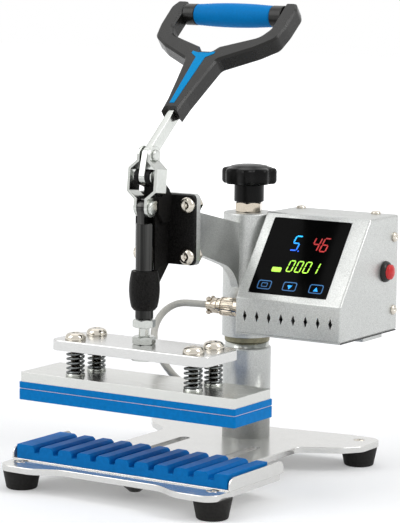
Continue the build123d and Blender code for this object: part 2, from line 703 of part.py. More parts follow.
with BuildPart() as spindle:
    with BuildSketch(flat(bar_bottom - spindle_head)):
        Circle(spindle_head_r)
    extrude(amount=spindle_head)
    with BuildSketch(flat(bar_bottom)):
        Circle(spindle_r)
    extrude(amount=spindle_top - bar_bottom)
pieces["spindle"] = spindle

with BuildPart() as spindle_nuts:
    for low, high in ((bar_top, lower_nut_top), (upper_nut_bottom, upper_nut_top)):
        with BuildSketch(flat(low)):
            RegularPolygon(hex_radius(nut_flats), 6)
            Circle(spindle_r + snug, mode=Mode.SUBTRACT)
        extrude(amount=high - low)
pieces["spindle_nuts"] = spindle_nuts

# Pressure bar and the bolts that carry the platen
bolt_spots = corner_spots(bolt_x, bolt_y)
with BuildPart() as pressure_bar:
    with BuildSketch(flat(bar_bottom)):
        RectangleRounded(bar_x, bar_y, bar_corner)
        Circle(spindle_r + snug, mode=Mode.SUBTRACT)
        with Locations(*bolt_spots):
            Circle(bolt_r + running, mode=Mode.SUBTRACT)
    extrude(amount=bar_top - bar_bottom)
    fillet(pressure_bar.faces().sort_by(Axis.Z)[-1].outer_wire().edges(), 0.8)
pieces["pressure_bar"] = pressure_bar

with BuildPart() as platen_bolts:
    domed_screws(flat(bar_top), bolt_spots, bolt_head_r, bolt_head, bolt_r, bar_top - plate_top + 4, 2.3)
pieces["platen_bolts"] = platen_bolts

with BuildPart() as platen_plate:
    with BuildSketch(flat(plate_bottom)):
        RectangleRounded(plate_x, plate_y, 1.5)
    extrude(amount=plate_top - plate_bottom)
    with Locations(flat(plate_top)):
        with Locations(*bolt_spots):
            Hole(bolt_r + snug, 4.5)
pieces["platen_plate"] = platen_plate

# Soft layers under the plate
for name, low, high in (
    ("heater_pad", heater_bottom, plate_bottom),
    ("glass_cloth", cloth_bottom, heater_bottom),
    ("press_pad", press_pad_bottom, cloth_bottom),
):
    inset = 0.4 if name == "glass_cloth" else 0.0
    with BuildPart() as layer:
        with BuildSketch(flat(low)):
            RectangleRounded(pad_x - 2 * inset, pad_y - 2 * inset, 1.5)
        extrude(amount=high - low)
    pieces[name] = layer

with BuildPart() as lead_boot:
    with BuildSketch(side(boot_left, boot_y - 1.5, boot_z - 0.6)):
        RectangleRounded(9.0, 7.6, 1.5)
    extrude(amount=12)
pieces["lead_boot"] = lead_boot

# Springs: closed end turns and open middle turns, each one unbroken wire
spring_r = (spring_outer - spring_wire) / 2
spring_low = plate_top + spring_wire / 2 + 0.05
spring_high = bar_bottom - spring_wire / 2 - 0.05
open_turns = spring_turns - 2 * spring_end_turns
open_pitch = (spring_high - spring_low - 2 * spring_end_turns * spring_end_pitch) / open_turns


def spring_height(turn):
    """Height of the wire after a number of turns, with a smooth change of pitch."""
    blend = 0.5
    low_part = min(max(turn - spring_end_turns + blend / 2, 0), blend)
    high_part = min(max(turn - (spring_turns - spring_end_turns) + blend / 2, 0), blend)
    extra = open_pitch - spring_end_pitch
    past_low = max(turn - spring_end_turns - blend / 2, 0)
    past_high = max(turn - (spring_turns - spring_end_turns) - blend / 2, 0)
    rise = low_part**2 / (2 * blend) + past_low - high_part**2 / (2 * blend) - past_high
    return spring_low + spring_end_pitch * turn + extra * rise


def spring_point(turn):
    """A point of the wire's centre line, about the bolt's axis."""
    angle = 2 * math.pi * turn
    return Vector(spring_r * math.cos(angle), spring_r * math.sin(angle), spring_height(turn))


def spring_tangent(turn):
    """Direction of the wire's centre line."""
    step = 0.0005
    start, end = max(turn - step, 0), min(turn + step, spring_turns)
    angle = 2 * math.pi * turn
    climb = (spring_height(end) - spring_height(start)) / (end - start)
    around = 2 * math.pi * spring_r
    return Vector(-around * math.sin(angle), around * math.cos(angle), climb).normalized()


def biarc(start, start_dir, end, end_dir):
    """Two arcs that join two points and keep both directions."""
    chord = end - start
    both = start_dir + end_dir
    a = both.dot(both) - 4
    b = -2 * chord.dot(both)
    c = chord.dot(chord)
    reach = (-b - math.sqrt(b * b - 4 * a * c)) / (2 * a)
    if reach < 0:
        reach = (-b + math.sqrt(b * b - 4 * a * c)) / (2 * a)
    near, far = start + start_dir * reach, end - end_dir * reach
    middle = (near + far) * 0.5
    TangentArc(start, middle, tangent=start_dir)
    TangentArc(middle, end, tangent=far - near)


quarters = round(spring_turns * 4)
with BuildPart() as springs:
    for x, y in bolt_spots:
        bolt_axis = Vector(press_x + x, press_y + y, 0)
        with BuildLine() as wire:
            for i in range(quarters):
                start, end = i / 4, (i + 1) / 4
                biarc(bolt_axis + spring_point(start), spring_tangent(start),
                      bolt_axis + spring_point(end), spring_tangent(end))
        with BuildSketch(wire.line ^ 0):
            Circle(spring_wire / 2)
        sweep(path=wire.line)
pieces["springs"] = springs

samples = [spring_point(i / 48) for i in range(int(spring_turns * 48) + 1)]
gaps = [(p - q).length for i, p in enumerate(samples) for q in samples[i + 24:]]
print("spring least gap to itself", round(min(gaps) - spring_wire, 2))

# Control box: folded shell, back pan and bottom cover
slope_rise = math.hypot(slope_top_y - box_front, box_top_z - slope_low_z)
slope_up = Vector(0, (slope_top_y - box_front) / slope_rise, (box_top_z - slope_low_z) / slope_rise)
slope_out = Vector(1, 0, 0).cross(slope_up)
slope_corner = Vector(press_x + box_left, press_y + slope_top_y, box_top_z)
window_x = (window_left + window_right) / 2
window_s = (window_high + window_low) / 2
window_width = window_right - window_left
window_height = window_low - window_high
box_mid_x = (box_left + box_right) / 2
box_inner = box_right - box_left - 2 * box_wall - 2 * running
button_axis = Axis((0, press_y + button_y, button_z), (1, 0, 0))
plug_axis = Axis((0, press_y + plug_y, plug_z), (1, 0, 0))
socket_r, nose_r, nose_end, plug_open = 6.0, 5.0, 8.0, 16.2
inlet_w, inlet_h, inlet_depth, inlet_pin = 27.0, 20.0, 20.0, 11.0


def slope(depth):
    """The sloping face of the box, moved outward by depth: x runs right, y runs up from the top edge."""
    return Plane(origin=slope_corner + slope_out * depth, x_dir=(1, 0, 0), z_dir=slope_out)


right_screw_spots = [(box_screw_y, box_screw_low), (box_screw_y, box_screw_high)]
left_screw_spots = [(-y, z) for y, z in right_screw_spots]
top_screw_spots = [(26.0, box_screw_y), (83.0, box_screw_y)]
screw_hole_r = 1.5 + snug
with BuildPart() as box_shell:
    with BuildSketch(side(box_left)):
        with BuildLine():
            Polyline((box_front, box_gap_z), (box_front, slope_low_z), (slope_top_y, box_top_z),
                     (box_back_y, box_top_z), (box_back_y, box_gap_z), close=True)
        make_face()
    extrude(amount=box_right - box_left)
    fillet(box_shell.edges().filter_by(Axis.X).sort_by(Axis.Y)[1:3], 2.0)
    walls = box_shell.faces().filter_by(Plane.YZ)
    rims = [e for e in walls.edges() if (e @ 0.5).Y < press_y + box_back_y - 1 and (e @ 0.5).Z > box_gap_z + 1]
    fillet(rims, 1.5)
    openings = [box_shell.faces().sort_by(Axis.Y)[-1], box_shell.faces().sort_by(Axis.Z)[0]]
    offset(amount=-box_wall, openings=openings)
    with BuildSketch(slope(1)):
        with Locations((window_x, -window_s)):
            Rectangle(window_width, window_height)
    extrude(amount=-4, mode=Mode.SUBTRACT)
    with BuildSketch(front(box_front)):
        with BuildLine():
            Polyline((0, vent_height / 2), (-vent_width / 2, 0), (0, -vent_height / 2), (vent_width / 2, 0), close=True)
        vent = make_face(mode=Mode.PRIVATE)
        with Locations(*[(vent_first + i * vent_pitch, vent_z) for i in range(vent_count)]):
            add(vent)
    extrude(amount=-3, mode=Mode.SUBTRACT)
    with BuildSketch(side(box_right)):
        with Locations((button_y, button_z)):
            Circle(barrel_r + snug)
        with Locations(*right_screw_spots):
            Circle(screw_hole_r)
    extrude(amount=-3, mode=Mode.SUBTRACT)
    with BuildSketch(side(box_left)):
        with Locations((plug_y, plug_z)):
            Circle(socket_r + snug)
        with Locations(*right_screw_spots):
            Circle(screw_hole_r)
    extrude(amount=3, mode=Mode.SUBTRACT)
    with BuildSketch(flat(box_top_z)):
        with Locations(*top_screw_spots):
            Circle(screw_hole_r)
    extrude(amount=-3, mode=Mode.SUBTRACT)
pieces["box_shell"] = box_shell

with BuildPart() as box_back:
    back_low = box_gap_z + running
    back_high = box_top_z - box_wall - running
    with BuildSketch(front(box_back_y)):
        with Locations((box_mid_x, (back_low + back_high) / 2)):
            Rectangle(box_inner, back_high - back_low)
    extrude(amount=10)
    fillet(box_back.edges().filter_by(Axis.Y), 1.6)
    offset(amount=-box_wall, openings=box_back.faces().sort_by(Axis.Y)[0])
    with BuildSketch(front(box_back_y)):
        with Locations((inlet_x, inlet_z)):
            Rectangle(inlet_w + 2 * snug, inlet_h + 2 * snug)
        with GridLocations(6, 1, 8, 1):
            with Locations((box_mid_x, 150)):
                SlotOverall(14, 2.4, rotation=90)
    extrude(amount=3, mode=Mode.SUBTRACT)
    with BuildSketch(side(box_left)):
        with Locations(*right_screw_spots):
            Circle(screw_hole_r)
    extrude(amount=box_right - box_left, mode=Mode.SUBTRACT)
    with BuildSketch(flat(box_top_z)):
        with Locations(*top_screw_spots):
            Circle(screw_hole_r)
    extrude(amount=-4, mode=Mode.SUBTRACT)
pieces["box_back"] = box_back

with BuildPart() as box_bottom:
    with BuildSketch(flat(box_bottom_z)):
        with Locations((box_mid_x, (box_front + box_back_y) / 2)):
            Rectangle(box_right - box_left - 1, box_back_y - box_front - 1)
    extrude(amount=box_wall)
    with BuildSketch(flat(box_bottom_z + box_wall)):
        for x in (box_left + box_wall + 0.6 + running, box_right - box_wall - 0.6 - running):
            with Locations((x, (box_front + box_back_y - 11) / 2)):
                Rectangle(box_wall, box_back_y - box_front - 18)
    extrude(amount=8)
    with BuildSketch(flat(box_bottom_z)):
        with Locations((90, 128)):
            Rectangle(8, 26)
    extrude(amount=-3.2)
pieces["box_bottom"] = box_bottom

with BuildPart() as display_window:
    with BuildSketch(slope(-1.4)):
        with Locations((window_x, -window_s)):
            RectangleRounded(window_width - 2 * running, window_height - 2 * running, 2)
    extrude(amount=2.0)
pieces["display_window"] = display_window

with BuildPart() as control_board:
    with BuildSketch(slope(-10)):
        with Locations((window_x, -window_s)):
            Rectangle(66, 58)
    extrude(amount=1.6)
    with BuildSketch(slope(-8.4)):
        with Locations(*[(window_x + x, y - window_s) for x, y in corner_spots(31.2, 26)]):
            Circle(1.6)
    extrude(amount=8.4 - box_wall)
pieces["control_board"] = control_board

# Button: bezel with a barrel, and the cap that travels in it
with BuildPart() as button_body:
    with BuildSketch(front(button_y)):
        with BuildLine():
            Polyline((84, button_z), (84, button_z + barrel_r), (box_right, button_z + barrel_r),
                     (box_right, button_z + bezel_r))
            ThreePointArc((box_right, button_z + bezel_r), (box_right + 2.2, button_z + 6.4),
                          (box_right + bezel_proud, button_z + cap_r + running + 0.3))
            Polyline((box_right + bezel_proud, button_z + cap_r + running + 0.3),
                     (box_right + bezel_proud, button_z + cap_r + running), (86, button_z + cap_r + running),
                     (86, button_z), (84, button_z))
        make_face()
    revolve(axis=button_axis)
pieces["button_body"] = button_body

cap_end = box_right + button_proud
with BuildPart() as button_cap:
    with BuildSketch(front(button_y)):
        with BuildLine():
            Polyline((cap_end, button_z), (88.5, button_z), (88.5, button_z + cap_r), (cap_end - 1.6, button_z + cap_r))
            TangentArc((cap_end, button_z), (cap_end - 1.6, button_z + cap_r), tangent=(0, 1))
        make_face()
    revolve(axis=button_axis)
pieces["button_cap"] = button_cap

with BuildPart() as box_screws:
    domed_screws(side(box_right), right_screw_spots, 3.3, 1.8, 1.5, 4.0, 1.2)
    left_face = Plane(origin=side(box_left).origin, x_dir=(0, -1, 0), z_dir=(-1, 0, 0))
    domed_screws(left_face, left_screw_spots, 3.3, 1.8, 1.5, 4.0, 1.2)
    domed_screws(flat(box_top_z), top_screw_spots, 3.3, 1.8, 1.5, 4.0, 1.2)
pieces["box_screws"] = box_screws

# Lead socket through the left wall, and the plug over its nose
with BuildPart() as lead_socket:
    with BuildSketch(front(plug_y)):
        with BuildLine():
            Polyline((nose_end, plug_z), (nose_end, plug_z + nose_r), (plug_open, plug_z + nose_r),
                     (plug_open, plug_z + 7.6), (box_left, plug_z + 7.6), (box_left, plug_z + socket_r),
                     (30, plug_z + socket_r), (30, plug_z), close=True)
        make_face()
    revolve(axis=plug_axis)
pieces["lead_socket"] = lead_socket

with BuildPart() as lead_plug:
    with BuildSketch(front(plug_y)):
        with BuildLine():
            Polyline((plug_end, plug_z), (plug_end, plug_z + 3.6), (plug_end + 4, plug_z + 4.2),
                     (plug_end + 4, plug_z + 5.6), (2, plug_z + 5.6), (2, plug_z + plug_r),
                     (plug_open, plug_z + plug_r), (plug_open, plug_z + nose_r + snug),
                     (nose_end, plug_z + nose_r + snug), (nose_end, plug_z), close=True)
        make_face()
    revolve(axis=plug_axis)
pieces["lead_plug"] = lead_plug

# Mains inlet in the back pan: flange, body with an open socket, three pins
with BuildPart() as power_inlet:
    with BuildSketch(front(box_back_y)):
        with Locations((inlet_x, inlet_z)):
            RectangleRounded(inlet_w + 5, inlet_h + 5, 2)
    extrude(amount=-2.4)
    with BuildSketch(front(box_back_y)):
        with Locations((inlet_x, inlet_z)):
            Rectangle(inlet_w, inlet_h)
    extrude(amount=inlet_depth)
    with BuildSketch(front(box_back_y + 2.4)):
        with Locations((inlet_x, inlet_z)):
            RectangleRounded(inlet_w - 3, inlet_h - 3, 2)
    extrude(amount=inlet_depth - 2, mode=Mode.SUBTRACT)
    with BuildSketch(front(box_back_y + 2.4 - inlet_depth + 1)):
        with Locations((inlet_x - 7, inlet_z - 2), (inlet_x, inlet_z + 2), (inlet_x + 7, inlet_z - 2)):
            Rectangle(2, 4)
    extrude(amount=-inlet_pin)
pieces["power_inlet"] = power_inlet

# Heater lead: straight runs joined by arcs as large as the runs allow, cut in two behind the bar
lead_vectors = [Vector(press_x, press_y, 0) + Vector(*p) for p in lead_points]
lead_radii = []
for before, corner, after in zip(lead_vectors, lead_vectors[1:], lead_vectors[2:]):
    arriving, leaving = corner - before, after - corner
    half_turn = math.radians(arriving.get_angle(leaving)) / 2
    lead_radii.append(0.45 * min(arriving.length, leaving.length) / math.tan(half_turn))
print("lead radii", [round(r, 1) for r in lead_radii], "for a lead of", 2 * lead_r)
cut_corner = 5
lead_cut = (lead_vectors[cut_corner] + lead_vectors[cut_corner + 1]) * 0.5
lead_parts = {
    "lead_upper": (lead_vectors[:cut_corner + 1] + [lead_cut], lead_radii[:cut_corner]),
    "lead_lower": ([lead_cut] + lead_vectors[cut_corner + 1:], lead_radii[cut_corner:]),
}
lead_total = 0
for name, (points, radii) in lead_parts.items():
    with BuildPart() as lead:
        with BuildLine() as route:
            FilletPolyline(*points, radius=radii)
        with BuildSketch(route.line ^ 0):
            Circle(lead_r)
        sweep(path=route.line)
    pieces[name] = lead
    lead_total += route.wire().length
    tube = math.pi * lead_r**2 * route.wire().length
    print(name, "length", round(route.wire().length, 1), "volume over section times length",
          round(lead.part.volume / tube, 4))
print("lead length", round(lead_total, 1))

# Top lock nut, knob and stud
with BuildPart() as top_nut:
    with BuildSketch(flat(sleeve_top, 0, column_y)):
        RegularPolygon(hex_radius(top_nut_flats), 6)
        Circle(stud_r + running, mode=Mode.SUBTRACT)
    extrude(amount=top_nut_top - sleeve_top)
pieces["top_nut"] = top_nut

with BuildPart() as knob_stud:
    with BuildSketch(flat(stud_bottom, 0, column_y)):
        Circle(stud_r)
    extrude(amount=stud_top - stud_bottom)
pieces["knob_stud"] = knob_stud

with BuildPart() as top_knob:
    with BuildSketch(flat(knob_bottom, 0, column_y)):
        Circle(knob_neck_r)
    extrude(amount=knob_head_bottom - knob_bottom)
    with BuildSketch(flat(knob_head_bottom, 0, column_y)):
        Circle(knob_head_r)
        with PolarLocations(knob_head_r + 2.6, knob_lobes):
            Circle(4.4, mode=Mode.SUBTRACT)
    extrude(amount=knob_head_top - knob_head_bottom)
    with BuildSketch(front(column_y)):
        with BuildLine():
            Polyline((0, knob_dome_top), (0, knob_head_top - 1), (13.5, knob_head_top - 1), (13.5, knob_head_top - 0.5))
            TangentArc((0, knob_dome_top), (13.5, knob_head_top - 0.5), tangent=(1, 0))
        make_face()
    revolve(axis=Axis((press_x, press_y + column_y, 0), (0, 0, 1)))
    with BuildSketch(flat(knob_bottom, 0, column_y)):
        Circle(stud_r + snug)
    extrude(amount=stud_top - knob_bottom + snug, mode=Mode.SUBTRACT)
pieces["top_knob"] = top_knob

for name, piece in pieces.items():
    piece.part.label = name
    export_step(piece.part, f"parts/{name}.step")
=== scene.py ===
import json
import math

import bmesh
import bpy
from mathutils import Matrix, Vector

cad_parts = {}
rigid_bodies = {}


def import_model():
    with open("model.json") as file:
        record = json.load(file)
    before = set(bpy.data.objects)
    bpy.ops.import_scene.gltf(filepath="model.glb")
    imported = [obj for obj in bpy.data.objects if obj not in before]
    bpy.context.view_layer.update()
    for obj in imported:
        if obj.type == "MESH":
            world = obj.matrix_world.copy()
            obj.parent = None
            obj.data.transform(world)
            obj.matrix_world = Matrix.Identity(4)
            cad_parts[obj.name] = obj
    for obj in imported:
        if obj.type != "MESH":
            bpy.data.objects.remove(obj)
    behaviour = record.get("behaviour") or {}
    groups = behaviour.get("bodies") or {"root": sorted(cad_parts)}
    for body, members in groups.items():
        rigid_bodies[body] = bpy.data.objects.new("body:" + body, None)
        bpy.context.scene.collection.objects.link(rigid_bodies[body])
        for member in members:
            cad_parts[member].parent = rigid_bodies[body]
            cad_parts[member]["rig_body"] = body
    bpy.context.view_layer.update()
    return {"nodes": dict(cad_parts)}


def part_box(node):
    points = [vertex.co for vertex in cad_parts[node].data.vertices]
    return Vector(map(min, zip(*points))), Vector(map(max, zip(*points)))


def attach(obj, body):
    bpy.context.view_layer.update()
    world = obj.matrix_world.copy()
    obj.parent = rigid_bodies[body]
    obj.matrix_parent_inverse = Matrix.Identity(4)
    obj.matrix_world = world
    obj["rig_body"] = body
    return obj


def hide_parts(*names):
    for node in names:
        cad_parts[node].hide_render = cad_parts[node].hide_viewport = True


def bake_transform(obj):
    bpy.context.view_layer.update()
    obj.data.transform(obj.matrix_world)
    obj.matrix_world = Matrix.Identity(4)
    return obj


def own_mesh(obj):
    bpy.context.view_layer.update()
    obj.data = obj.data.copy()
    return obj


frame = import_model()

# Pen heat press. Pieces are placed in millimetres about the press axis, X to the right, Y to the back.
PRESS = Vector((-9.5, -59.5, 0.0))
MM = 0.001


def at(x, y, z):
    """A point given about the press axis in millimetres, in metres in the object's frame."""
    return (Vector((x, y, z)) + PRESS) * MM


# Camera: the photograph's place, direction and lens
view_azimuth, view_elevation, view_roll = math.radians(32.441), math.radians(7.433), math.radians(0.646)
back = Vector((
    math.sin(view_azimuth) * math.cos(view_elevation),
    -math.cos(view_azimuth) * math.cos(view_elevation),
    math.sin(view_elevation),
))
level_right = Vector((math.cos(view_azimuth), math.sin(view_azimuth), 0))
level_up = back.cross(level_right)
right = level_right * math.cos(view_roll) + level_up * math.sin(view_roll)
up = level_up * math.cos(view_roll) - level_right * math.sin(view_roll)
camera = bpy.data.objects.new("camera", bpy.data.cameras.new("camera"))
camera.matrix_world = Matrix((right, up, back)).transposed().to_4x4()
camera.location = at(801.1, -1195.7, 336.3)
camera.data.lens = 159.43
camera.data.sensor_width = 36
camera.data.clip_start, camera.data.clip_end = 0.1, 20
bpy.context.scene.collection.objects.link(camera)
bpy.context.scene.camera = camera
bpy.context.scene.view_settings.view_transform = "Standard"

# Light: a white surround, a large soft lamp at the front left, a weaker one at the right, a wide one above
world = bpy.data.worlds.new("studio")
bpy.context.scene.world = world
world.use_nodes = True
nodes, links = world.node_tree.nodes, world.node_tree.links
nodes.clear()


def add_node(tree_nodes, kind, **inputs):
    """A shader node with some of its sockets set."""
    node = tree_nodes.new(kind)
    for name, value in inputs.items():
        node.inputs[name.replace("_", " ")].default_value = value
    return node


def ramp_node(tree_nodes, stops):
    """A colour ramp with the given (place, colour) stops."""
    node = tree_nodes.new("ShaderNodeValToRGB")
    ramp = node.color_ramp
    while len(ramp.elements) < len(stops):
        ramp.elements.new(0.5)
    for element, (place, colour) in zip(ramp.elements, stops):
        element.position = place
        element.color = (*colour, 1)
    return node


def shown_ray(tree_nodes, tree_links):
    """1 for rays that show the background: the camera's, and those off metal and through glass."""
    path = tree_nodes.new("ShaderNodeLightPath")
    either = tree_nodes.new("ShaderNodeMath")
    either.operation = "MAXIMUM"
    tree_links.new(path.outputs["Is Camera Ray"], either.inputs[0])
    tree_links.new(path.outputs["Is Glossy Ray"], either.inputs[1])
    shown = tree_nodes.new("ShaderNodeMath")
    shown.operation = "MAXIMUM"
    tree_links.new(either.outputs[0], shown.inputs[0])
    tree_links.new(path.outputs["Is Transmission Ray"], shown.inputs[1])
    return shown.outputs[0]


seen = add_node(nodes, "ShaderNodeBackground", Color=(1, 1, 1, 1), Strength=1.0)
ambient = add_node(nodes, "ShaderNodeBackground", Color=(0.95, 0.97, 1.0, 1), Strength=0.50)
mixed = nodes.new("ShaderNodeMixShader")
links.new(shown_ray(nodes, links), mixed.inputs[0])
links.new(ambient.outputs[0], mixed.inputs[1])
links.new(seen.outputs[0], mixed.inputs[2])
links.new(mixed.outputs[0], nodes.new("ShaderNodeOutputWorld").inputs["Surface"])


def soft_lamp(name, place, target, width, height, power):
    """A rectangular lamp that faces a target point."""
    lamp = bpy.data.lights.new(name, "AREA")
    lamp.shape = "RECTANGLE"
    lamp.size, lamp.size_y, lamp.energy = width, height, power
    holder = bpy.data.objects.new(name, lamp)
    holder.location = place
    holder.rotation_mode = "QUATERNION"
    holder.rotation_quaternion = (Vector(target) - Vector(place)).to_track_quat("-Z", "Y")
    bpy.context.scene.collection.objects.link(holder)


soft_lamp("key_lamp", (-1.8, -2.4, 2.3), (0, 0, 0.14), width=2.4, height=2.8, power=50)
soft_lamp("side_lamp", (2.2, 0.3, 2.0), (0, 0, 0.15), width=1.0, height=1.7, power=32)
soft_lamp("top_lamp", (-0.4, 1.0, 3.0), (0, 0, 0.1), width=3.6, height=3.0, power=22)


def plain_material(name):
    """A new node material: its tree's nodes and links, and its surface shader."""
    material = bpy.data.materials.new(name)
    material.use_nodes = True
    tree = material.node_tree
    return material, tree.nodes, tree.links, tree.nodes["Principled BSDF"]


floor_material, nodes, links, shader = plain_material("floor")
shader.inputs["Base Color"].default_value = (0.8, 0.8, 0.8, 1)
shader.inputs["Roughness"].default_value = 0.9
shader.inputs["Specular IOR Level"].default_value = 0.0
glow = add_node(nodes, "ShaderNodeEmission", Color=(1, 1, 1, 1))
glow_level = nodes.new("ShaderNodeMath")
glow_level.operation = "MULTIPLY"
floor_place = nodes.new("ShaderNodeTexCoord")
distance = nodes.new("ShaderNodeVectorMath")
distance.operation = "LENGTH"
links.new(floor_place.outputs["Object"], distance.inputs[0])
glow_rise = add_node(nodes, "ShaderNodeMapRange", From_Min=0.4, From_Max=2.5, To_Min=0.22, To_Max=0.95)
links.new(distance.outputs["Value"], glow_rise.inputs["Value"])
links.new(shown_ray(nodes, links), glow_level.inputs[0])
links.new(glow_rise.outputs["Result"], glow_level.inputs[1])
links.new(glow_level.outputs[0], glow.inputs["Strength"])
total = nodes.new("ShaderNodeAddShader")
links.new(shader.outputs[0], total.inputs[0])
links.new(glow.outputs[0], total.inputs[1])
links.new(total.outputs[0], nodes["Material Output"].inputs["Surface"])
floor_mesh = bpy.data.meshes.new("floor")
floor_mesh.from_pydata([(-6, -6, 0), (6, -6, 0), (6, 6, 0), (-6, 6, 0)], [], [(0, 1, 2, 3)])
floor_mesh.materials.append(floor_material)
floor = bpy.data.objects.new("floor", floor_mesh)
bpy.context.scene.collection.objects.link(floor)


def surface(name, colour, roughness, metallic=0.0, spread=0.06, grain=900.0, bump=0.0, bump_grain=2500.0,
            rough_spread=0.05, stretch=(1, 1, 1), specular=0.5):
    """A material whose colour, roughness and relief vary with fine noise, fixed to the piece."""
    material, nodes, links, shader = plain_material(name)
    place = nodes.new("ShaderNodeTexCoord")
    scaled = nodes.new("ShaderNodeMapping")
    scaled.inputs["Scale"].default_value = stretch
    links.new(place.outputs["Object"], scaled.inputs["Vector"])
    grain_node = add_node(nodes, "ShaderNodeTexNoise", Scale=grain, Detail=3.0, Roughness=0.6)
    links.new(scaled.outputs["Vector"], grain_node.inputs["Vector"])
    darker = [c * (1 - spread) for c in colour]
    lighter = [min(c * (1 + spread), 1.0) for c in colour]
    tint = ramp_node(nodes, [(0.3, darker), (0.7, lighter)])
    links.new(grain_node.outputs["Fac"], tint.inputs[0])
    links.new(tint.outputs["Color"], shader.inputs["Base Color"])
    worn = add_node(nodes, "ShaderNodeTexNoise", Scale=60.0, Detail=4.0)
    links.new(scaled.outputs["Vector"], worn.inputs["Vector"])
    rough = nodes.new("ShaderNodeMapRange")
    rough.inputs["From Min"].default_value = 0.3
    rough.inputs["From Max"].default_value = 0.7
    rough.inputs["To Min"].default_value = max(roughness - rough_spread, 0.02)
    rough.inputs["To Max"].default_value = roughness + rough_spread
    links.new(worn.outputs["Fac"], rough.inputs["Value"])
    links.new(rough.outputs["Result"], shader.inputs["Roughness"])
    if bump:
        relief_grain = add_node(nodes, "ShaderNodeTexNoise", Scale=bump_grain, Detail=2.0)
        links.new(scaled.outputs["Vector"], relief_grain.inputs["Vector"])
        relief = add_node(nodes, "ShaderNodeBump", Strength=bump, Distance=0.0003)
        links.new(relief_grain.outputs["Fac"], relief.inputs["Height"])
        links.new(relief.outputs["Normal"], shader.inputs["Normal"])
    shader.inputs["Metallic"].default_value = metallic
    shader.inputs["Specular IOR Level"].default_value = specular
    return material


def glowing(name, low_colour, high_colour, strength):
    """A lit sign of the display, whose colour changes from its foot to its top."""
    material, nodes, links, shader = plain_material(name)
    place = nodes.new("ShaderNodeTexCoord")
    height = nodes.new("ShaderNodeSeparateXYZ")
    links.new(place.outputs["Generated"], height.inputs[0])
    tint = ramp_node(nodes, [(0.1, low_colour), (0.9, high_colour)])
    links.new(height.outputs["Z"], tint.inputs[0])
    links.new(tint.outputs["Color"], shader.inputs["Emission Color"])
    links.new(tint.outputs["Color"], shader.inputs["Base Color"])
    shader.inputs["Emission Strength"].default_value = strength
    shader.inputs["Roughness"].default_value = 0.3
    return material


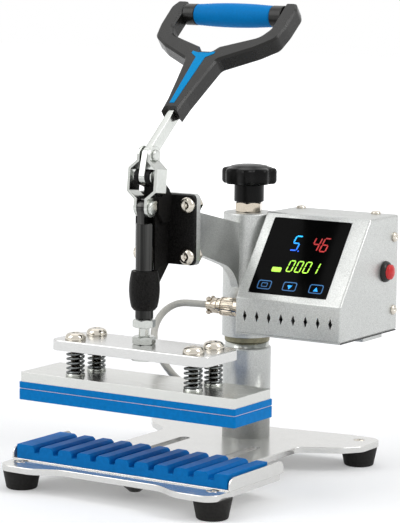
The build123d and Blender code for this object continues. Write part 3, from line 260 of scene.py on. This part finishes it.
finishes = {
    "base_paint": surface(
        "base_paint", colour=(0.70, 0.695, 0.675), roughness=0.20, metallic=0.75, spread=0.03, grain=300,
        bump=0.02, bump_grain=400, rough_spread=0.03
    ),
    "arm_paint": surface(
        "arm_paint", colour=(0.54, 0.55, 0.535), roughness=0.34, metallic=0.72, spread=0.22, grain=1500,
        bump=0.12, bump_grain=1800, rough_spread=0.05
    ),
    "bar_paint": surface(
        "bar_paint", colour=(0.66, 0.66, 0.65), roughness=0.24, metallic=0.9, spread=0.04, grain=900,
        bump=0.03, bump_grain=900, rough_spread=0.03
    ),
    "plated_steel": surface(
        "plated_steel", colour=(0.54, 0.555, 0.53), roughness=0.20, metallic=1.0, spread=0.06, grain=500,
        bump=0.03, bump_grain=700, rough_spread=0.04
    ),
    "screw_nickel": surface(
        "screw_nickel", colour=(0.60, 0.56, 0.49), roughness=0.14, metallic=1.0, spread=0.05, grain=400,
        bump=0.0, bump_grain=700, rough_spread=0.03
    ),
    "platen_alu": surface(
        "platen_alu", colour=(0.66, 0.665, 0.64), roughness=0.24, metallic=1.0, spread=0.04, grain=300,
        bump=0.04, bump_grain=500, rough_spread=0.04, stretch=(1, 12, 12)
    ),
    "black_casting": surface(
        "black_casting", colour=(0.010, 0.0095, 0.009), roughness=0.40, metallic=0.0, spread=0.9,
        grain=1300, bump=0.4, bump_grain=800, rough_spread=0.06, specular=0.08
    ),
    # Dark steel of the plunger rod: its colour noise is stretched upright into light and dark streaks,
    # which are painted reflection bands
    "dark_steel": surface(
        "dark_steel", colour=(0.034, 0.034, 0.033), roughness=0.12, metallic=1.0, spread=0.97, grain=300,
        bump=0.02, bump_grain=900, rough_spread=0.04, stretch=(1, 1, 0.02)
    ),
    "black_plastic": surface(
        "black_plastic", colour=(0.010, 0.0095, 0.0085), roughness=0.28, metallic=0.0, spread=0.2,
        grain=1500, bump=0.15, bump_grain=1600, rough_spread=0.05, specular=0.32
    ),
    "foot_rubber": surface(
        "foot_rubber", colour=(0.019, 0.018, 0.017), roughness=0.6, metallic=0.0, spread=0.2, grain=600,
        bump=0.1, bump_grain=900, rough_spread=0.05, specular=0.15
    ),
    "blue_silicone": surface(
        "blue_silicone", colour=(0.0, 0.19, 0.54), roughness=0.5, metallic=0.0, spread=0.08, grain=350,
        bump=0.06, bump_grain=700, rough_spread=0.05, specular=0.08
    ),
    "tray_silicone": surface(
        "tray_silicone", colour=(0.0, 0.165, 0.49), roughness=0.5, metallic=0.0, spread=0.08, grain=350,
        bump=0.06, bump_grain=700, rough_spread=0.05, specular=0.10
    ),
    "blue_plastic": surface(
        "blue_plastic", colour=(0.0, 0.265, 0.60), roughness=0.4, metallic=0.0, spread=0.05, grain=500,
        bump=0.04, bump_grain=900, rough_spread=0.04, specular=0.06
    ),
    "blue_grip": surface(
        "blue_grip", colour=(0.0, 0.205, 0.56), roughness=0.5, metallic=0.0, spread=0.06, grain=600,
        bump=0.08, bump_grain=1200, rough_spread=0.05, specular=0.08
    ),
    "white_cloth": surface(
        "white_cloth", colour=(0.75, 0.66, 0.72), roughness=0.8, metallic=0.0, spread=0.15, grain=1200,
        bump=0.3, bump_grain=1500, rough_spread=0.05
    ),
    "display_black": surface(
        "display_black", colour=(0.002, 0.002, 0.002), roughness=0.10, metallic=0.0, spread=0.2, grain=300,
        bump=0.0, bump_grain=900, rough_spread=0.02, specular=0.02
    ),
    "board_green": surface(
        "board_green", colour=(0.01, 0.09, 0.03), roughness=0.5, metallic=0.0, spread=0.2, grain=600,
        bump=0.2, bump_grain=500, rough_spread=0.05
    ),
    "red_plastic": surface(
        "red_plastic", colour=(0.60, 0.006, 0.008), roughness=0.18, metallic=0.0, spread=0.05, grain=400,
        bump=0.02, bump_grain=700, rough_spread=0.04
    ),
    "plug_chrome": surface(
        "plug_chrome", colour=(0.46, 0.41, 0.34), roughness=0.14, metallic=1.0, spread=0.06, grain=500,
        bump=0.03, bump_grain=700, rough_spread=0.04
    ),
    "lead_sleeve": surface(
        "lead_sleeve", colour=(0.50, 0.49, 0.45), roughness=0.6, metallic=0.0, spread=0.08, grain=900,
        bump=0.3, bump_grain=1500, rough_spread=0.05, specular=0.2
    ),
    # Thrust ring: a dark brownish colour that holds both the ring's own tone and painted shade of the
    # narrow gap between sleeve and column
    "nylon_ring": surface(
        "nylon_ring", colour=(0.26, 0.24, 0.15), roughness=0.45, metallic=0.3, spread=0.2, grain=500,
        bump=0.1, bump_grain=700, rough_spread=0.05
    ),
    "spring_steel": surface(
        "spring_steel", colour=(0.16, 0.17, 0.17), roughness=0.16, metallic=1.0, spread=0.15, grain=300,
        bump=0.02, bump_grain=700, rough_spread=0.04
    ),
    "knob_black": surface(
        "knob_black", colour=(0.003, 0.003, 0.003), roughness=0.28, metallic=0.0, spread=0.2, grain=700,
        bump=0.05, bump_grain=900, rough_spread=0.05, specular=0.12
    ),
}


def smooth(mesh, angle=35):
    """Smooth shading, with edges kept sharp above an angle."""
    mesh.polygons.foreach_set("use_smooth", [True] * len(mesh.polygons))
    mesh.set_sharp_from_angle(angle=math.radians(angle))


def soften(item, width, segments=2, angle=30):
    """Rounds a piece's sharp edges, in millimetres."""
    bevel = item.modifiers.new("edges", "BEVEL")
    bevel.width = width * MM
    bevel.segments = segments
    bevel.limit_method = "ANGLE"
    bevel.angle_limit = math.radians(angle)
    bevel.harden_normals = False
    bevel.miter_outer = "MITER_ARC"
    weighted = item.modifiers.new("shading", "WEIGHTED_NORMAL")
    weighted.keep_sharp = True


# Faces of a CAD node that turn by less than this are joined before its edges are rounded
flat_angle = math.radians(1.0)


def dress(node, finish, edge=0.0):
    """Gives a CAD node its finish, and rounds its edges where edge is above 0."""
    item = frame["nodes"][node]
    item.data.materials.clear()
    item.data.materials.append(finishes[finish])
    smooth(item.data)
    weld = item.modifiers.new("weld", "WELD")
    weld.merge_threshold = 0.00001
    if edge:
        flatten = item.modifiers.new("flatten", "DECIMATE")
        flatten.decimate_type = "DISSOLVE"
        flatten.angle_limit = flat_angle
        soften(item, edge)


def make(name, points, faces, body, finish, replaces=(), angle=35, edge=0.0):
    """A piece from points in metres and faces, on its body and with its finish."""
    mesh = bpy.data.meshes.new(name)
    mesh.from_pydata([tuple(p) for p in points], [], faces)
    build = bmesh.new()
    build.from_mesh(mesh)
    bmesh.ops.remove_doubles(build, verts=build.verts, dist=0.000001)
    bmesh.ops.recalc_face_normals(build, faces=build.faces)
    build.to_mesh(mesh)
    build.free()
    smooth(mesh, angle)
    mesh.materials.append(finishes[finish])
    item = bpy.data.objects.new(name, mesh)
    bpy.context.scene.collection.objects.link(item)
    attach(item, body)
    if replaces:
        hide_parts(*replaces)
    if edge:
        soften(item, edge)
    return item


def ring_faces(rings, size):
    """Faces between rings of equal size that follow each other in the point list."""
    faces = []
    for k in range(rings - 1):
        for i in range(size):
            j = (i + 1) % size
            a = k * size
            faces.append((a + i, a + j, a + size + j, a + size + i))
    return faces


def merge(*parts):
    """Several (points, faces) pairs as one."""
    points, faces = [], []
    for more_points, more_faces in parts:
        shift = len(points)
        points += list(more_points)
        faces += [tuple(i + shift for i in face) for face in more_faces]
    return points, faces


def turned(profile, centre, axis=(0, 0, 1), steps=64, closed=False):
    """A turned form from (radius, height) pairs in millimetres, about an axis through a centre point."""
    spin = Vector((0, 0, 1)).rotation_difference(Vector(axis))
    points = []
    for radius, height in profile:
        for i in range(steps):
            angle = 2 * math.pi * i / steps
            local = Vector((radius * math.cos(angle), radius * math.sin(angle), height))
            points.append(centre + spin @ local * MM)
    faces = ring_faces(len(profile), steps)
    if closed:
        last = (len(profile) - 1) * steps
        faces += [(last + i, last + (i + 1) % steps, (i + 1) % steps, i) for i in range(steps)]
    else:
        faces.append(tuple(range(steps)))
        faces.append(tuple(range((len(profile) - 1) * steps, len(profile) * steps)))
    return points, faces


def nut(centre, axis, flats, height, bore, turn=0.0, steps=96):
    """A hexagonal nut with chamfered corners and a bore."""
    spin = Vector((0, 0, 1)).rotation_difference(Vector(axis))
    rim = flats / 2 * 0.97
    rings = [("bore", 0.5), ("lead", 0.0), ("rim", 0.0), ("hex", 0.0),
             ("hex", 1.0), ("rim", 1.0), ("lead", 1.0), ("bore", 0.9)]
    points = []
    for kind, share in rings:
        for i in range(steps):
            angle = 2 * math.pi * i / steps
            corner = (angle + math.pi / 6) % (math.pi / 3) - math.pi / 6
            hexagon = flats / 2 / math.cos(corner)
            drop = max(hexagon - rim, 0) * 0.55
            radius = {"bore": bore, "lead": bore + 0.5, "rim": rim, "hex": hexagon}[kind]
            level = height * share
            if kind == "hex":
                level += drop if share == 0 else -drop
            local = Vector((radius * math.cos(angle + turn), radius * math.sin(angle + turn), level))
            points.append(centre + spin @ local * MM)
    faces = ring_faces(len(rings), steps)
    last = (len(rings) - 1) * steps
    faces += [(last + i, last + (i + 1) % steps, (i + 1) % steps, i) for i in range(steps)]
    return points, faces


def tube(line, radius, steps=12, ripple=None):
    """A closed tube along a line of points in metres, with an even frame along it."""
    points = []
    tangents = []
    for i in range(len(line)):
        tangents.append((line[min(i + 1, len(line) - 1)] - line[max(i - 1, 0)]).normalized())
    side_dir = tangents[0].orthogonal().normalized()
    for i, (place, tangent) in enumerate(zip(line, tangents)):
        if i:
            side_dir = tangents[i - 1].rotation_difference(tangent) @ side_dir
        other = tangent.cross(side_dir)
        for k in range(steps):
            angle = 2 * math.pi * k / steps
            size = radius * MM * (ripple(i, k) if ripple else 1)
            points.append(place + (side_dir * math.cos(angle) + other * math.sin(angle)) * size)
    faces = ring_faces(len(line), steps)
    faces.append(tuple(range(steps)))
    faces.append(tuple(range((len(line) - 1) * steps, len(line) * steps)))
    return points, faces


def slab(outline, origin, across, upward, low, high):
    """A flat form from an outline in millimetres on a plane, between two heights above the plane."""
    normal = across.cross(upward)
    points = []
    for height in (low, high):
        for x, y in outline:
            points.append(origin + (across * x + upward * y + normal * height) * MM)
    size = len(outline)
    faces = ring_faces(2, size)
    faces.append(tuple(range(size)))
    faces.append(tuple(range(size, 2 * size)))
    return points, faces


def frame_slab(outer, inner, origin, across, upward, low, high):
    """A flat ring between two outlines with the same number of points."""
    normal = across.cross(upward)
    size = len(outer)
    points = []
    for outline, height in ((outer, low), (outer, high), (inner, high), (inner, low)):
        for x, y in outline:
            points.append(origin + (across * x + upward * y + normal * height) * MM)
    faces = ring_faces(4, size)
    faces += [(3 * size + i, 3 * size + (i + 1) % size, (i + 1) % size, i) for i in range(size)]
    return points, faces


def rounded_box(x, y, width, height, radius, steps=5):
    """The outline of a rectangle with round corners about a middle point."""
    outline = []
    for cx, cy, first in ((1, 1, 0), (-1, 1, 90), (-1, -1, 180), (1, -1, 270)):
        for i in range(steps + 1):
            angle = math.radians(first + 90 * i / steps)
            outline.append((
                x + cx * (width / 2 - radius) + radius * math.cos(angle),
                y + cy * (height / 2 - radius) + radius * math.sin(angle),
            ))
    return outline


# CAD nodes that keep their shape
kept = [
    ("base_plate", "base_paint", 0.5),
    ("foot_front_left", "foot_rubber", 0.0),
    ("foot_front_right", "foot_rubber", 0.0),
    ("foot_rear_left", "foot_rubber", 0.0),
    ("foot_rear_right", "foot_rubber", 0.0),
    ("foot_screws", "screw_nickel", 0.0),
    ("column", "arm_paint", 0.0),
    ("column_bolt", "plated_steel", 0.3),
    ("swivel_post", "plated_steel", 0.0),
    ("thrust_ring", "nylon_ring", 0.3),
    ("tray_holder", "base_paint", 0.25),
    ("pen_pad", "tray_silicone", 0.5),
    ("tray_stud", "plated_steel", 0.2),
    ("tray_knob", "black_plastic", 0.4),
    ("arm_sleeve", "arm_paint", 0.3),
    ("arm_web", "arm_paint", 0.5),
    ("mount_plate", "arm_paint", 0.5),
    ("clamp_body", "black_casting", 0.5),
    ("clamp_screws", "screw_nickel", 0.0),
    ("clamp_nuts", "screw_nickel", 0.3),
    ("pivot_pin", "plated_steel", 0.0),
    ("box_shell", "arm_paint", 0.3),
    ("box_back", "arm_paint", 0.3),
    ("box_bottom", "arm_paint", 0.2),
    ("display_window", "display_black", 0.25),
    ("control_board", "board_green", 0.0),
    ("button_body", "black_plastic", 0.0),
    ("button_cap", "red_plastic", 0.0),
    ("box_screws", "screw_nickel", 0.0),
    ("lead_socket", "plug_chrome", 0.2),
    ("power_inlet", "black_plastic", 0.3),
    ("knob_stud", "plated_steel", 0.3),
    ("lever_bar", "plated_steel", 0.5),
    ("shell_front", "black_plastic", 0.4),
    ("shell_back", "black_plastic", 0.4),
    ("handle_inlay", "blue_plastic", 0.25),
    ("grip_rod", "plated_steel", 0.3),
    ("grip_bushes", "black_plastic", 0.4),
    ("handle_screws", "plated_steel", 0.2),
    ("link_left", "plated_steel", 0.4),
    ("link_right", "plated_steel", 0.4),
    ("link_pin", "plated_steel", 0.0),
    ("link_rivets", "plated_steel", 0.0),
    ("plunger_rod", "dark_steel", 0.2),
    ("spindle", "plated_steel", 0.2),
    ("pressure_bar", "bar_paint", 0.4),
    ("platen_plate", "platen_alu", 0.3),
    ("heater_pad", "blue_silicone", 0.3),
    ("glass_cloth", "white_cloth", 0.1),
    ("press_pad", "blue_silicone", 0.4),
    ("platen_bolts", "screw_nickel", 0.0),
    ("lead_boot", "blue_silicone", 0.4),
]
for node, finish, edge in kept:
    dress(node, finish, edge)

# Heater lead: one smooth line through the route's points, from the plug to the boot
lead_route = [
    (-9.4, 90.0, 109.3),
    (-22.9, 90.0, 109.2),
    (-31.5, 88.0, 108.7),
    (-36.1, 81.5, 105.6),
    (-37.1, 72.5, 100.2),
    (-34.0, 62.0, 92.8),
    (-26.0, 51.5, 85.0),
    (-13.4, 41.5, 77.4),
    (8.5, 28.5, 67.5),
    (16.0, 28.5, 67.5),
]
route_curve = bpy.data.curves.new("lead_route", "CURVE")
route_curve.dimensions = "3D"
route_curve.resolution_u = 16
spline = route_curve.splines.new("NURBS")
spline.points.add(len(lead_route) - 1)
for point, place in zip(spline.points, lead_route):
    point.co = (*at(*place), 1)
spline.order_u = 3
spline.use_endpoint_u = True
route_object = bpy.data.objects.new("lead_route", route_curve)
bpy.context.scene.collection.objects.link(route_object)
bpy.context.view_layer.update()
route_mesh = bpy.data.meshes.new_from_object(route_object)
lead_line = [v.co.copy() for v in route_mesh.vertices]
bpy.data.objects.remove(route_object)


def lead_braid(i, k):
    """The lead's woven sleeve, as a slight relief."""
    return 1 + 0.02 * math.sin(i * 1.6) * math.cos(math.pi * k / 3)


points, faces = tube(lead_line, 2.3, 24, lead_braid)
lead = make("heater_lead", points, faces, "arm", "lead_sleeve", ("lead_upper", "lead_lower"))
lead.parent = None
lead.matrix_world = Matrix.Identity(4)
del lead["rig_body"]
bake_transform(lead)

# Lead plug: clamp, body and knurled ring, turned about the socket's axis
plug_centre = at(0, 90.0, 109.3)
plug_axis = (1, 0, 0)
body_profile = [(2.4, -9.4), (3.5, -9.4), (3.9, -9.0), (4.2, -5.6), (5.0, -5.2), (5.2, -4.8),
                (5.2, -1.0), (4.7, -0.6), (4.7, 1.4), (2.4, 1.4)]
body_part = turned(body_profile, plug_centre, plug_axis, 48, closed=True)
knurl_steps = 96
points = []
ring_profile = [(5.1, 1.4, 0), (5.9, 1.4, 0), (6.2, 1.8, 0), (6.2, 3.0, 0), (5.9, 3.2, 1), (6.15, 3.6, 1),
                (6.15, 12.6, 1), (5.9, 13.0, 1), (6.2, 13.2, 0), (6.3, 15.8, 0), (6.0, 16.2, 0),
                (5.1, 16.2, 0)]
for radius, height, ribbed in ring_profile:
    for i in range(knurl_steps):
        angle = 2 * math.pi * i / knurl_steps
        size = radius - (0.35 if ribbed and i % 4 < 2 else 0)
        points.append(plug_centre + Vector((height, size * math.cos(angle), size * math.sin(angle))) * MM)
faces = ring_faces(len(ring_profile), knurl_steps)
last = (len(ring_profile) - 1) * knurl_steps
faces += [(last + i, last + (i + 1) % knurl_steps, (i + 1) % knurl_steps, i) for i in range(knurl_steps)]
saddle_parts = []
for lift in (1, -1):
    saddle_parts.append(slab(rounded_box(-7.2, 0, 3.6, 7.4, 0.8), plug_centre, Vector((1, 0, 0)),
                             Vector((0, 1, 0)), lift * 3.6, lift * 5.0))
    for y in (-2.7, 2.7):
        screw_place = plug_centre + Vector((-7.2, y, lift * 5.0)) * MM
        saddle_parts.append(turned([(1.1, 0), (1.1, 0.5), (0.8, 0.8)], screw_place, (0, 0, lift), 20))
points, faces = merge(body_part, (points, faces), *saddle_parts)
make("lead_coupling", points, faces, "arm", "plug_chrome", ("lead_plug",), 30)

# Springs, each wire with closed end turns, on the platen's four bolts
wire_radius, coil_radius, coil_turns = 0.8, 5.2, 5.5
plate_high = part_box("platen_plate")[1][2] / MM
bar_low, bar_high = (corner[2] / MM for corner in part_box("pressure_bar"))
coil_low, coil_high, end_pitch = plate_high + 0.85, bar_low - 0.85, 2.15
open_pitch = (coil_high - coil_low - 2 * end_pitch) / (coil_turns - 2)


def coil_height(turn):
    """Height of a spring's wire after a number of turns, with a smooth change of pitch."""
    ease = 0.5
    low_part = min(max(turn - 1 + ease / 2, 0), ease)
    high_part = min(max(turn - (coil_turns - 1) + ease / 2, 0), ease)
    past_low = max(turn - 1 - ease / 2, 0)
    past_high = max(turn - (coil_turns - 1) - ease / 2, 0)
    rise = low_part**2 / (2 * ease) + past_low - high_part**2 / (2 * ease) - past_high
    return coil_low + end_pitch * turn + (open_pitch - end_pitch) * rise


coil_parts = []
for x in (-44.5, 44.5):
    for y in (-11.7, 11.7):
        line = []
        for i in range(int(coil_turns * 32) + 1):
            turn = i / 32
            angle = 2 * math.pi * turn
            across, along = coil_radius * math.cos(angle), coil_radius * math.sin(angle)
            line.append(at(x + across, y + along, coil_height(turn)))
        coil_parts.append(tube(line, wire_radius, 14))
points, faces = merge(*coil_parts)
springs = make("spring_set", points, faces, "platen", "spring_steel", ("springs",), 60)
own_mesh(springs)

# Seat rings under the springs
seat_profile = [(4.3, 0.0), (6.0, 0.0), (6.2, 0.3), (6.2, 1.1), (5.9, 1.5), (4.3, 1.5)]
seat_parts = [turned(seat_profile, at(x, y, plate_high), (0, 0, 1), 48, closed=True)
              for x in (-44.5, 44.5) for y in (-11.7, 11.7)]
points, faces = merge(*seat_parts)
make("spring_seats", points, faces, "platen", "plated_steel")

# Nuts on the spindle and under the top knob
lower_nut = nut(at(0, 0, bar_high), (0, 0, 1), 13.0, 101.0 - bar_high, 3.42, 0.25)
upper_nut = nut(at(0, 0, 106.6), (0, 0, 1), 13.0, 5.1, 3.42, 0.32)
points, faces = merge(lower_nut, upper_nut)
make("spindle_nut_pair", points, faces, "plunger", "plated_steel", ("spindle_nuts",), 25)
points, faces = nut(at(0, 125, 169.0), (0, 0, 1), 16.5, 6.6, 5.05, 0.4)
make("knob_lock_nut", points, faces, "arm", "plug_chrome", ("top_nut",), 25)

# Top knob: lobed head with a domed top on a round neck
lobes, lobe_steps = 8, 160
knob_rings = [(9.6, 176.0, 0), (10.0, 176.4, 0), (10.0, 187.0, 0), (12.0, 187.9, 0.4), (17.2, 188.2, 0.8),
              (18.3, 189.4, 1), (18.5, 190.4, 1), (18.5, 196.4, 1), (18.1, 197.8, 1), (17.2, 198.5, 0.9),
              (15.4, 198.9, 0.7), (13.2, 199.3, 0.2), (11.8, 200.0, 0), (8.0, 200.7, 0), (4.0, 201.0, 0)]
points = []
for radius, height, share in knob_rings:
    for i in range(lobe_steps):
        angle = 2 * math.pi * i / lobe_steps
        wave = (0.5 - 0.5 * math.cos(lobes * angle)) ** 0.8
        size = radius - share * 2.7 * (1 - wave)
        points.append(at(size * math.cos(angle), 125 + size * math.sin(angle), height))
faces = ring_faces(len(knob_rings), lobe_steps)
faces.append(tuple(range((len(knob_rings) - 1) * lobe_steps, len(knob_rings) * lobe_steps)))
points_in = []
for radius, height in ((9.6, 176.0), (5.05, 176.0), (5.05, 193.0)):
    for i in range(lobe_steps):
        angle = 2 * math.pi * i / lobe_steps
        points_in.append(at(radius * math.cos(angle), 125 + radius * math.sin(angle), height))
inner = (points_in, ring_faces(3, lobe_steps) + [tuple(range(2 * lobe_steps, 3 * lobe_steps))])
points, faces = merge((points, faces), inner)
knob = make("lobed_knob", points, faces, "arm_lock", "knob_black", ("top_knob",), 40)

# Painted shadow: a dark strip standing in for the shaded gap along the foot of the box's right side
points, faces = slab([(79.6, 94.05), (154.6, 94.05), (154.6, 94.8), (79.6, 94.8)], at(97.0, 0, 0),
                     Vector((0, 1, 0)), Vector((0, 0, 1)), -0.3, 0.08)
make("box_gap_shadow", points, faces, "arm", "black_plastic")

# Grip sleeve with fine end grooves, at its reach along the leaning handle from the link pivot
handle_lean, grip_reach = math.radians(40), 132.5
pivot_y, pivot_z = 3.5, 214.84869
grip_y = pivot_y + grip_reach * math.cos(handle_lean)
grip_z = pivot_z + grip_reach * math.sin(handle_lean)
grip_centre = at(0, grip_y, grip_z)
grip_profile = [(4.02, -29.0), (6.4, -29.0), (6.9, -28.6)]
for i in range(57):
    x = -28 + i
    radius = 8.0 - 1.1 * (x / 29) ** 2
    if 19 <= abs(x) <= 26 and i % 2:
        radius -= 0.14
    grip_profile.append((radius, x))
grip_profile += [(6.9, 28.6), (6.4, 29.0), (4.02, 29.0)]
points, faces = turned(grip_profile, grip_centre, (1, 0, 0), 72, closed=True)
make("grip_cover", points, faces, "lever", "blue_grip", ("grip_sleeve",), 50)

# Display: lit digits, counter, marks and key outlines on the window
slope_run, slope_rise = 38.5, 53.0
slope_across = Vector((1, 0, 0))
slope_upward = Vector((0, slope_run, slope_rise)) / math.hypot(slope_run, slope_rise)
slope_origin = at(18.5, 117.5, 171.0)
window_face = 0.6
segment_map = {"0": "abcdef", "1": "bc", "4": "bcfg", "5": "acdfg", "6": "acdefg"}


def segment(ax, ay, bx, by, thick):
    """A lit bar with pointed ends between two points."""
    run = math.hypot(bx - ax, by - ay)
    dx, dy = (bx - ax) / run, (by - ay) / run
    half = thick / 2
    return [
        (ax, ay),
        (ax + dx * half - dy * half, ay + dy * half + dx * half),
        (bx - dx * half - dy * half, by - dy * half + dx * half),
        (bx, by),
        (bx - dx * half + dy * half, by - dy * half - dx * half),
        (ax + dx * half + dy * half, ay + dy * half - dx * half),
    ]


def digit(character, left, top, width, height, slant, thick):
    """Outlines of a slanted seven-bar digit whose upright box has that left and top."""
    gap = 0.12
    a, b, c = top, top + height / 2, top + height
    bars = {
        "a": (0, a, width, a), "d": (0, c, width, c), "g": (0, b, width, b),
        "f": (0, a, 0, b), "e": (0, b, 0, c), "b": (width, a, width, b), "c": (width, b, width, c),
    }
    outlines = []
    for bar in segment_map[character]:
        x0, y0, x1, y1 = bars[bar]
        if y0 == y1:
            x0, x1 = x0 + gap, x1 - gap
        else:
            y0, y1 = y0 + gap, y1 - gap
        flat_bar = segment(x0, y0, x1, y1, thick)
        outlines.append([(left + x + slant * (c - y), -y) for x, y in flat_bar])
    return outlines


def lit(name, outlines, finish):
    """Lit marks on the display, as one thin piece."""
    low, high = window_face - 0.05, window_face + 0.06
    parts = [slab(outline, slope_origin, slope_across, slope_upward, low, high) for outline in outlines]
    points, faces = merge(*parts)
    return make(name, points, faces, "arm", finish, (), 20)


finishes["lit_blue"] = glowing("lit_blue", (0.0, 0.11, 0.85), (0.0, 0.46, 1.0), 0.9)
finishes["lit_arrow"] = glowing("lit_arrow", (0.0, 0.30, 0.85), (0.0, 0.36, 0.95), 0.8)
finishes["lit_red"] = glowing("lit_red", (0.40, 0.01, 0.01), (0.30, 0.01, 0.01), 0.7)
finishes["lit_green"] = glowing("lit_green", (0.42, 0.80, 0.05), (0.34, 0.72, 0.05), 0.85)
finishes["lit_key"] = glowing("lit_key", (0.01, 0.10, 0.28), (0.01, 0.13, 0.34), 0.5)
five = digit("5", 27.9, 17.0, 4.6, 10.6, 0.16, 1.0)
five.append(rounded_box(34.2, -28.0, 1.0, 1.0, 0.45, 3))
lit("seconds_digit", five, "lit_blue")
red_digits = digit("4", 42.9, 17.0, 4.3, 9.8, 0.16, 1.0) + digit("6", 49.4, 17.0, 4.3, 9.8, 0.16, 1.0)
lit("heat_digits", red_digits, "lit_red")
green_digits = []
for i, character in enumerate("0001"):
    green_digits += digit(character, 30.4 + 6.15 * i, 35.4, 3.7, 8.0, 0.16, 0.85)
green_digits.append(rounded_box(23.25, -42.75, 7.1, 3.5, 0.9))
lit("count_digits", green_digits, "lit_green")
key_marks = [[(35.4, -53.4), (39.0, -53.4), (37.2, -56.4)], [(55.0, -56.0), (58.6, -56.0), (56.8, -53.0)]]
lit("key_arrows", key_marks, "lit_arrow")
ring_parts = []
for x, y, width, height, line_width in ((18.4, -54.6, 10.1, 6.6, 0.6), (37.2, -54.3, 10.1, 6.6, 0.6),
                                        (56.8, -54.3, 10.1, 6.6, 0.6), (18.4, -54.6, 4.6, 3.2, 0.5)):
    radius = 1.5 if width > 6 else 0.7
    outer = rounded_box(x, y, width, height, radius)
    inner = rounded_box(x, y, width - 2 * line_width, height - 2 * line_width, radius * 0.7)
    ring_parts.append(frame_slab(outer, inner, slope_origin, slope_across, slope_upward, window_face - 0.05,
                                 window_face + 0.05))
points, faces = merge(*ring_parts)
make("key_frames", points, faces, "arm", "lit_key", (), 20)
